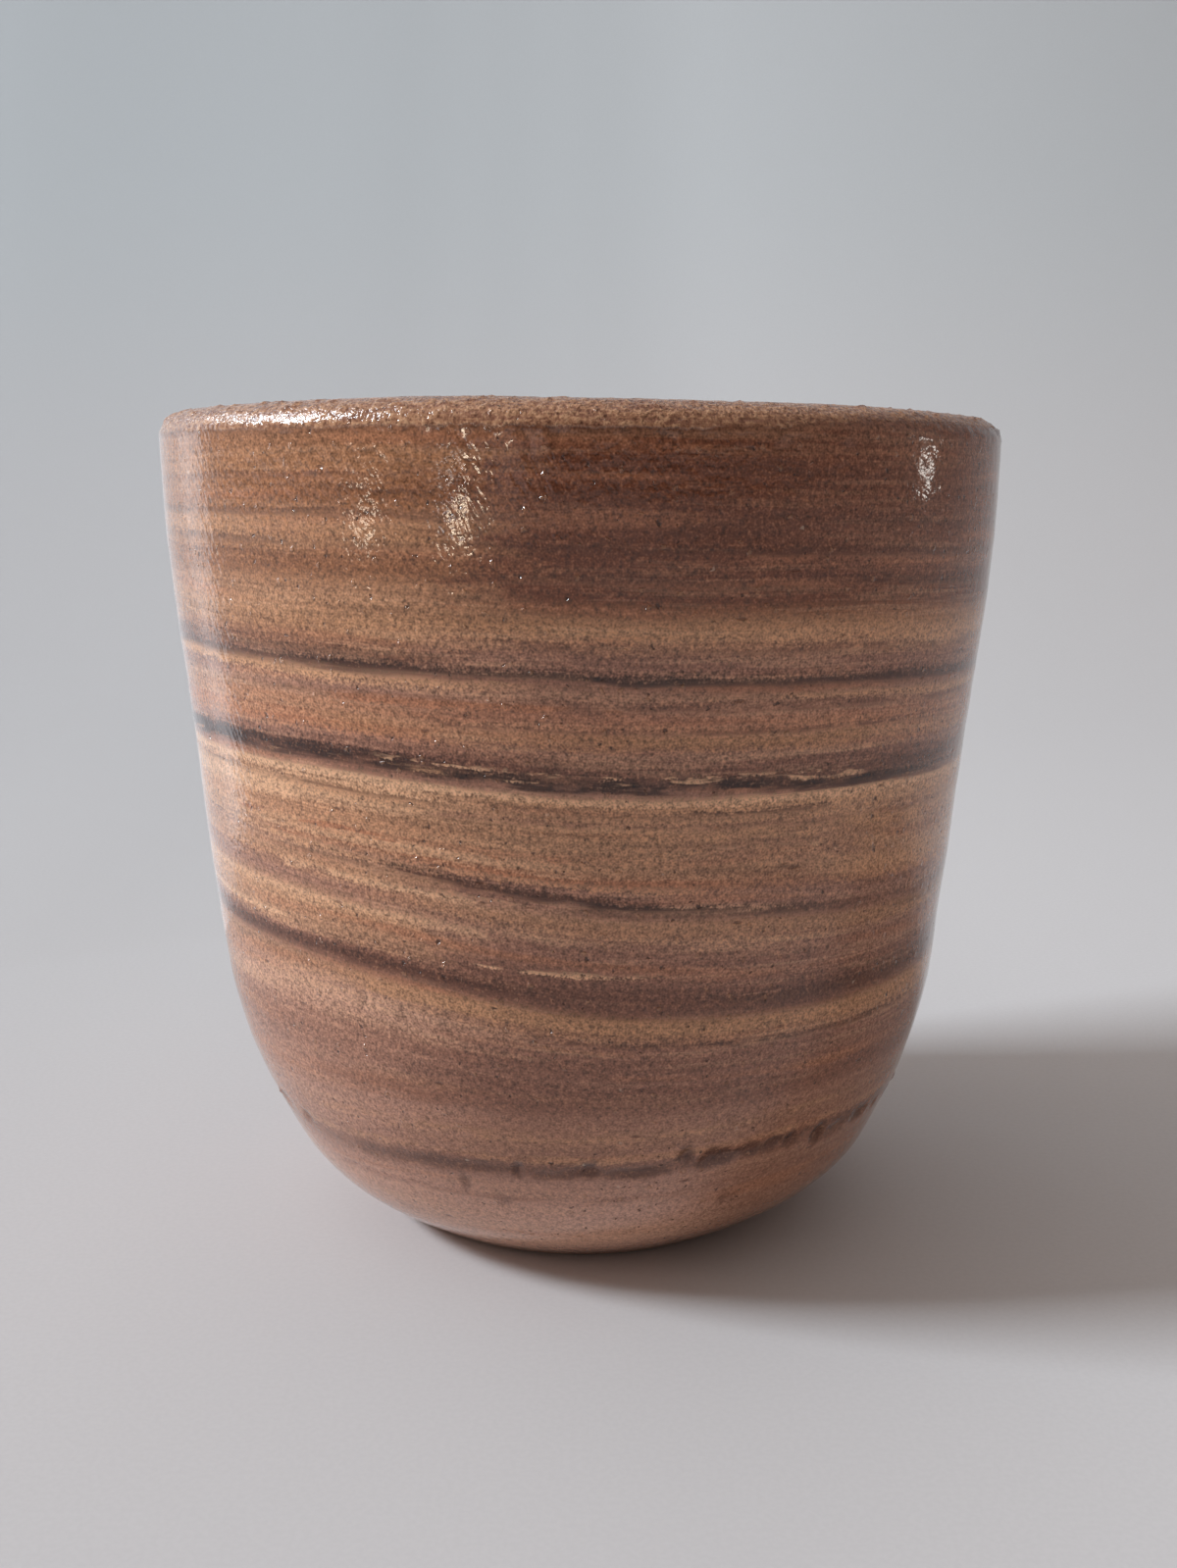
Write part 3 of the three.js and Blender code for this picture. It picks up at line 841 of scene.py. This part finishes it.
    # the broad dark band at 34 mm and the golden line that closes it
    streak(33.9, 0.9, 1.0, COCOA, 0.75, (-30, 12, 16))
    streak(33.6, 0.9, 0.9, COCOA, 0.6, (26, 90, 14))
    streak(33.9, 0.4, 0.7, UMBER, 0.75, (-100, -14, 14), slope=0.6)
    streak(34.0, 0.45, 0.8, UMBER, 0.75, (22, 90, 12), swells="a")
    streak(34.6, 1.2, 1.0, UMBER, 0.35, (34, 62, 10), swells="b")
    streak(31.3, 0.55, 0.55, between(GOLD, BUFF, 0.5), 0.8, (-20, 80, 16))
    streak(31.2, 0.4, 0.5, BUFF, 0.5, (-60, -24, 12), swells="c")
    streak(29.5, 0.22, 0.35, UMBER, 0.6, (4, 80, 14), swells="b")
    streak(27.0, 0.5, 0.8, COCOA, 0.35, (-30, 60, 16), swells="a")
    streak(23.2, 1.2, 1.4, COCOA, 0.4, (-30, 80, 16), swells="a")
    streak(19.4, 0.3, 0.4, BUFF, 0.4, (-40, 40, 14), swells="b")
    streak(16.9, 0.3, 0.35, BUFF, 0.5, (-50, 70, 14), swells="b")
    streak(15.6, 0.8, 1.0, COCOA, 0.45, (-50, 60, 12), swells="a")
    streak(15.6, 0.35, 0.6, UMBER, 0.4, (-26, 56, 12), swells="b")
    streak(12.0, 0.25, 0.35, MAUVE, 0.5, (-40, 50, 14), swells="b")
    # faint seams in the top
    streak(80.2, 0.2, 0.4, COCOA, 0.5, (-90, -20, 14), swells="c")
    streak(77.0, 0.25, 0.4, UMBER, 0.5, (-90, 60, 14), swells="c")
    streak(74.4, 0.3, 0.4, UMBER, 0.5, (-90, 60, 14), swells="a")
    streak(71.8, 0.3, 0.5, UMBER, 0.5, (-10, 60, 14), swells="a")
    streak(73.6, 0.3, 0.4, TERRA, 0.5, (20, 80, 14), swells="b")

    # the far side has seams of its own
    def rear_streak(*args, **kwargs):
        streak(*args, side="back", **kwargs)

    rear_streak(71.0, 0.8, 0.8, BUFF, 0.6, window=(-60, 40, 24), slope=-1.2)
    rear_streak(65.8, 0.35, 0.5, CHAR, 0.75, window=(-85, 70, 20), slope=-1.3, swells="a")
    rear_streak(64.9, 0.2, 0.3, CREAM, 0.6, window=(-80, 40, 20), slope=-1.3, swells="b")
    rear_streak(58.4, 0.6, 0.7, TERRA, 0.7, window=(-60, 80, 24), slope=-1.4, swells="c")
    rear_streak(56.0, 0.6, 0.6, CHAR, 0.8, window=(-50, 80, 20), slope=-1.5, swells="b")
    rear_streak(54.4, 0.3, 0.4, CREAM, 0.8, window=(-60, 80, 20), slope=-1.5, swells="a")
    rear_streak(46.6, 0.5, 0.5, UMBER, 0.8, window=(-75, 60, 20), slope=-1.6, swells="a")
    rear_streak(45.2, 0.5, 0.5, BUFF, 0.6, window=(-80, 70, 20), slope=-1.6)
    rear_streak(37.0, 1.0, 0.9, COCOA, 0.8, window=(-75, 75, 24), slope=-1.5)
    rear_streak(34.6, 0.4, 0.4, CREAM, 0.5, window=(-60, 60, 24), slope=-1.5, swells="c")
    rear_streak(25.6, 0.4, 0.5, UMBER, 0.6, window=(-75, 70, 24), slope=-1.0, swells="b")
    rear_streak(15.4, 0.45, 0.4, CHAR, 0.7, window=(-85, 85, 20), swells="d")
    body = shade[0]

    # stains in the pits, and pale grains that stand proud
    body = k.mix(k.math("MULTIPLY", pit, 0.82, clamp=True), body, between(UMBER, CHAR, 0.25))
    body = k.mix(k.math("MULTIPLY", pit, -0.8, clamp=True), body, PINK)

    # sand in the clay, pinholes, short dark dashes and a few white grains
    peppered = k.node("ShaderNodeVectorMath", operation="SCALE")
    k.tree.links.new(body, peppered.inputs[0])
    k.tree.links.new(k.math("MAXIMUM", k.math("MULTIPLY_ADD", k.mul(grit, k.step(z, 12.0, 30.0, 1.15, 1.75)), 1.0, 1.04), 0.45), peppered.inputs["Scale"])
    body = k.mix(k.math("MULTIPLY_ADD", grit, 1.1, -0.15, clamp=True), peppered.outputs[0], BUFF)

    # places moved about a little, so that no grain has a round outline
    shake = k.node("ShaderNodeTexNoise", noise_dimensions="3D")
    k.tree.links.new(P, shake.inputs["Vector"])
    shake.inputs["Scale"].default_value, shake.inputs["Detail"].default_value = 2.6, 1.0
    about = k.node("ShaderNodeVectorMath", operation="MULTIPLY_ADD")
    k.tree.links.new(shake.outputs["Color"], about.inputs[0])
    about.inputs[1].default_value = (0.62, 0.62, 0.62)
    k.tree.links.new(P, about.inputs[2])
    shaken = about.outputs[0]

    def specks(scale, radius, share, stretch=1.0):
        at = shaken if stretch == 1.0 else k.xyz(x, y, k.mul(z, stretch))
        cell = k.voronoi(at, scale)
        near = k.step(cell.outputs["Distance"], radius * scale * 1.25, radius * scale * 0.6)
        pick = k.node("ShaderNodeSeparateColor")
        k.tree.links.new(cell.outputs["Color"], pick.inputs[0])
        return k.mul(near, k.math("LESS_THAN", pick.outputs[0], share))

    pin = specks(0.72, 0.15, 0.62)
    hole = specks(0.30, 0.24, 0.40)
    dash = specks(0.22, 0.50, 0.22, stretch=3.2)
    grog = specks(0.62, 0.24, 0.70)
    white = specks(0.27, 0.22, 0.30)
    body = k.mix(k.mul(dash, 0.6), body, UMBER)
    body = k.mix(k.mul(pin, 0.75), body, CHAR)
    body = k.mix(k.mul(hole, 0.8), body, CHAR)
    body = k.mix(k.mul(grog, 0.30), body, BUFF)
    body = k.mix(k.mul(white, 0.42), body, colour(222, 194, 170))

    # the lip: paler sandy clay with a torn lower edge, and a painted shade line just below that edge
    notch = k.noise(k.xyz(x, y, 0.0), 1.05, 3.0, 0.65)
    notch2 = k.noise(k.xyz(x, y, 0.0), 0.30, 2.0, 0.5)
    cut = k.total(edge, k.math("MULTIPLY_ADD", notch, 0.8, -0.4), k.math("MULTIPLY_ADD", notch2, 0.5, -0.25))
    # on the right the steep bevel keeps the dark clay, so the pale part begins higher
    higher = k.product(k.step(from_front, math.radians(12.0), math.radians(42.0)), k.step(front, math.radians(150.0), math.radians(110.0)))
    crumb = k.noise(P, 2.1, 2.0, 0.6)
    cut = k.sub(cut, k.mul(higher, k.total(k.mul(notch2, 1.7), k.mul(crumb, 1.3), -0.2)))
    lip = k.mul(k.step(cut, -0.14, 0.16), k.step(edge, lip_length + 3.0, lip_length - 0.8))
    turned = k.noise(k.xyz(k.mul(x, 0.16), k.mul(y, 0.16), k.mul(edge, 2.6)), 1.0, 3.0, 0.65)
    lip_clay = k.mix(k.step(turned, 0.36, 0.60), between(MAUVE, SAND, 0.25), between(SAND, BUFF, 0.5))
    lip_clay = k.mix(k.step(crumb, 0.50, 0.64, 0.0, 0.85), lip_clay, CREAM)
    lip_clay = k.mix(k.step(crumb, 0.47, 0.34, 0.0, 0.75), lip_clay, COCOA)
    lip_clay = k.mix(k.math("MULTIPLY_ADD", grit, -2.2, 0.0, clamp=True), lip_clay, UMBER)
    body = k.mix(k.mul(lip, 0.9), body, lip_clay)
    # painted shade: a thin umber line just below the lip's torn lower edge, standing for the shade under that edge;
    # fainter on the right
    painted_lip_shade = k.product(k.step(cut, -0.8, -0.05), k.step(cut, 0.08, -0.08), k.math("MULTIPLY_ADD", higher, -0.32, 0.4))
    body = k.mix(painted_lip_shade, body, UMBER)

    # the foot: bare and a little paler, with the glaze stopping in a line above it
    bare_line = k.add(z, k.math("MULTIPLY_ADD", blotch, 0.5, -0.25))
    bare = k.mul(k.step(bare_line, 0.75, 0.45), k.step(kind, 1.6, 1.4))
    dry = k.mix(0.5, body, between(SAND, ROSE, 0.4))
    body = k.mix(bare, body, dry)

    # roughness: glossy, broken by the sand; the lip is rougher, the foot dry
    rough = k.math("MULTIPLY_ADD", grain, 0.12, 0.02)
    rough = k.math("MAXIMUM", k.add(rough, k.math("MULTIPLY_ADD", blotch, 0.16, -0.08)), 0.05)
    rough = k.math("MAXIMUM", rough, k.mul(k.step(edge, 0.3, 1.5, 0.10, 0.24), lip))
    rough = k.math("MAXIMUM", rough, k.mul(bare, 0.82), clamp=True)

    # bump, in units of the distance below: pebbled glaze, sand, pinholes, lip crumbs
    pebble = k.noise(P, 0.9, 1.0, 0.5)
    girth = k.mul(front, 43.0)
    slant = k.xyz(k.math("MULTIPLY_ADD", z, 0.50, k.mul(girth, 0.87)), k.mul(k.math("MULTIPLY_ADD", girth, -0.50, k.mul(z, 0.87)), 0.30), 4.0)
    combed = k.mul(k.noise(slant, 2.1, 1.0, 0.55), k.product(k.step(front, math.radians(30.0), math.radians(-12.0)),
                                                             k.step(front, math.radians(-150.0), math.radians(-110.0))))
    height = k.total(k.mul(pebble, 0.40), k.mul(combed, 0.34), k.mul(grain, 0.16), k.mul(pin, -0.7), k.mul(hole, -0.9), k.mul(dash, -0.5),
                     k.mul(grog, 0.90), k.product(lip, crumb, k.step(edge, 0.4, 1.6, 1.0, 2.4)))
    bump = k.node("ShaderNodeBump")
    bump.inputs["Strength"].default_value = 1.0
    bump.inputs["Distance"].default_value = 0.0001
    k.tree.links.new(height, bump.inputs["Height"])

    shader = k.node("ShaderNodeBsdfPrincipled")
    k.feed(shader.inputs["Base Color"], body)
    k.feed(shader.inputs["Roughness"], rough)
    k.feed(shader.inputs["Normal"], bump.outputs[0])
    shader.inputs["IOR"].default_value = 1.5
    shader.inputs["Specular IOR Level"].default_value = 0.5
    end = k.node("ShaderNodeOutputMaterial")
    k.tree.links.new(shader.outputs[0], end.inputs[0])
    return k.mat


mug.data.materials.append(make_clay())
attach(mug, "root")
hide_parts("cup_body")


# ---------------------------------------------------------------------------------------------
# Floor and backdrop: one pale sweep, wide open in front
# ---------------------------------------------------------------------------------------------
def make_sweep():
    rows = []
    for d in np.linspace(-2.5, 0.30, 15):
        rows.append((d, 0.0))
    for a in np.linspace(0, math.pi / 2, 17)[1:]:
        rows.append((0.30 + 0.55 * math.sin(a), 0.55 - 0.55 * math.cos(a)))
    for h in (0.9, 1.4, 2.0):
        rows.append((0.85, h))
    columns = np.linspace(-2.5, 2.5, 9)
    verts = [(x, y, z) for (y, z) in rows for x in columns]
    n = len(columns)
    faces = [(i * n + j, i * n + j + 1, (i + 1) * n + j + 1, (i + 1) * n + j) for i in range(len(rows) - 1) for j in range(n - 1)]
    mesh = bpy.data.meshes.new("sweep")
    mesh.from_pydata(verts, [], faces)
    mesh.polygons.foreach_set("use_smooth", np.ones(len(mesh.polygons), dtype=bool))
    ob = bpy.data.objects.new("sweep", mesh)
    bpy.context.scene.collection.objects.link(ob)
    k = Kit("paper_sweep")
    shader = k.node("ShaderNodeBsdfPrincipled")
    coord = k.node("ShaderNodeTexCoord").outputs["Object"]
    tooth = k.noise(coord, 1800.0, 2.0, 0.5)
    split = k.node("ShaderNodeSeparateXYZ")
    k.tree.links.new(coord, split.inputs[0])

    def paper(t):
        return (0.672 * t, 0.668 * t, 0.676 * t, 1.0)

    # painted light and shade on the paper: darker towards the left, brighter to the right of the mug, and cooler with
    # height, for how the room's light falls on the floor and backdrop
    shade = k.ramp(split.outputs[0], -0.4, 0.4, [
        (-0.4, paper(0.72)), (-0.3, paper(0.76)), (-0.1, paper(0.88)), (-0.05, paper(0.93)), (0.0, paper(0.98)),
        (0.08, paper(1.10)), (0.2, paper(1.09)), (0.4, paper(1.05))])
    # painted light: the backdrop is tinted cooler, and a little darker in red, with height
    painted_cool_light = k.mix(k.step(split.outputs[2], 0.02, 0.25), (1.0, 1.0, 1.0, 1.0), (0.93, 0.985, 1.0, 1.0))
    shade = k.mix(1.0, shade, painted_cool_light, "MULTIPLY")
    fleck = k.mix(k.step(tooth, 0.3, 0.7), (0.985, 0.985, 0.985, 1.0), (1.015, 1.015, 1.015, 1.0))
    k.feed(shader.inputs["Base Color"], k.mix(1.0, shade, fleck, "MULTIPLY"))
    shader.inputs["Roughness"].default_value = 0.75
    shader.inputs["Specular IOR Level"].default_value = 0.2
    end = k.node("ShaderNodeOutputMaterial")
    k.tree.links.new(shader.outputs[0], end.inputs[0])
    mesh.materials.append(k.mat)
    return ob


make_sweep()


# ---------------------------------------------------------------------------------------------
# Light and camera
# ---------------------------------------------------------------------------------------------
def area(name, at, look, size, power, tint=(1.0, 1.0, 1.0), size_y=None):
    data = bpy.data.lights.new(name, "AREA")
    data.shape = "RECTANGLE"
    data.size, data.size_y = size, size_y or size
    data.energy, data.color = power, tint
    ob = bpy.data.objects.new(name, data)
    ob.location = at
    ob.rotation_mode = "QUATERNION"
    ob.rotation_quaternion = (Vector(look) - Vector(at)).to_track_quat("-Z", "Y")
    ob.visible_camera = False
    bpy.context.scene.collection.objects.link(ob)
    return ob


def glossy_card(name, at, look, size, size_y, power, tint):
    """A pale surface that shows only as a reflection in the glaze."""
    ob = area(name, at, look, size, power, tint, size_y)
    ob.visible_diffuse = False
    ob.visible_shadow = False
    return ob


# a window at the left, a little towards the viewer, about 35 degrees up
area("window", (-1.507, -0.120, 1.054), (0, 0, 0.02), 0.48, 27.6, (0.925, 1.0, 1.07), 0.21)
# what the glaze mirrors: the bright wall behind on the left, and small panes in front and on the right
glossy_card("wall_left", (-0.080, 0.072, 0.075), (-0.030, -0.020, 0.055), 0.105, 0.17, 0.0175, (0.92, 1.0, 1.1))
glossy_card("wall_side", (-0.159, 0.060, 0.072), (-0.035, -0.024, 0.060), 0.036, 0.16, 0.018, (0.95, 1.0, 1.07))
glossy_card("window_side", (-1.46, 0.365, 1.055), (0, 0, 0.08), 0.50, 0.24, 14.0, (0.93, 1.0, 1.1))
glossy_card("pane_a", (-0.270, -0.201, 0.047), (-0.018, -0.039, 0.0765), 0.022, 0.016, 0.0135, (1.0, 0.80, 0.60))
glossy_card("pane_b", (-0.163, -0.300, 0.043), (-0.010, -0.043, 0.079), 0.024, 0.008, 0.017, (1.0, 0.80, 0.58))
glossy_card("pane_b_side", (-0.158, -0.303, 0.049), (-0.010, -0.043, 0.079), 0.010, 0.007, 0.0060, (1.0, 0.86, 0.68))
glossy_card("pane_b_upper", (-0.172, -0.294, 0.058), (-0.010, -0.043, 0.079), 0.014, 0.009, 0.0030, (0.95, 0.93, 0.95))
glossy_card("pane_c", (0.914, 0.147, 0.066), (0.033, -0.029, 0.0805), 0.062, 0.036, 0.072, (1.0, 0.95, 0.88))
glossy_card("room", (-0.275, -0.865, 0.03), (0, 0, 0.08), 0.15, 0.15, 0.034, (0.85, 0.95, 1.15))

world = bpy.data.worlds.new("room")
bpy.context.scene.world = world
world.use_nodes = True
tree = world.node_tree
background = tree.nodes["Background"]
sky_dir = tree.nodes.new("ShaderNodeTexCoord").outputs["Generated"]
sky_split = tree.nodes.new("ShaderNodeSeparateXYZ")
tree.links.new(sky_dir, sky_split.inputs[0])
# dim towards the front, brighter behind and overhead
sky_run = tree.nodes.new("ShaderNodeMapRange")
sky_run.inputs[1].default_value, sky_run.inputs[2].default_value = -0.9, 0.6
sky_run.inputs[3].default_value, sky_run.inputs[4].default_value = 0.13, 0.66
tree.links.new(sky_split.outputs[1], sky_run.inputs[0])
across = tree.nodes.new("ShaderNodeMath")
across.operation = "MULTIPLY_ADD"
tree.links.new(sky_split.outputs[0], across.inputs[0])
across.inputs[1].default_value, across.inputs[2].default_value = -0.30, 1.0
fill = tree.nodes.new("ShaderNodeMath")
fill.operation = "MULTIPLY"
tree.links.new(sky_run.outputs[0], fill.inputs[0])
tree.links.new(across.outputs[0], fill.inputs[1])
tree.links.new(fill.outputs[0], background.inputs[1])
background.inputs[0].default_value = (1.17, 1.0, 0.91, 1.0)

camera_data = bpy.data.cameras.new("camera")
camera_data.sensor_width = 36.0
camera_data.sensor_fit = "AUTO"
camera_data.lens = 36.0 * 1700.0 / 1599.0
camera_data.clip_start, camera_data.clip_end = 0.01, 20.0
camera = bpy.data.objects.new("camera", camera_data)
camera.location = (0.0, -0.183, 0.0816)
camera.rotation_euler = Euler((math.radians(90.0 - 11.0), math.radians(0.1), math.radians(-0.27)), "XYZ")
bpy.context.scene.collection.objects.link(camera)
bpy.context.scene.camera = camera
bpy.context.scene.view_settings.view_transform = "Standard"
bpy.context.scene.view_settings.look = "None"

bpy.context.view_layer.update()
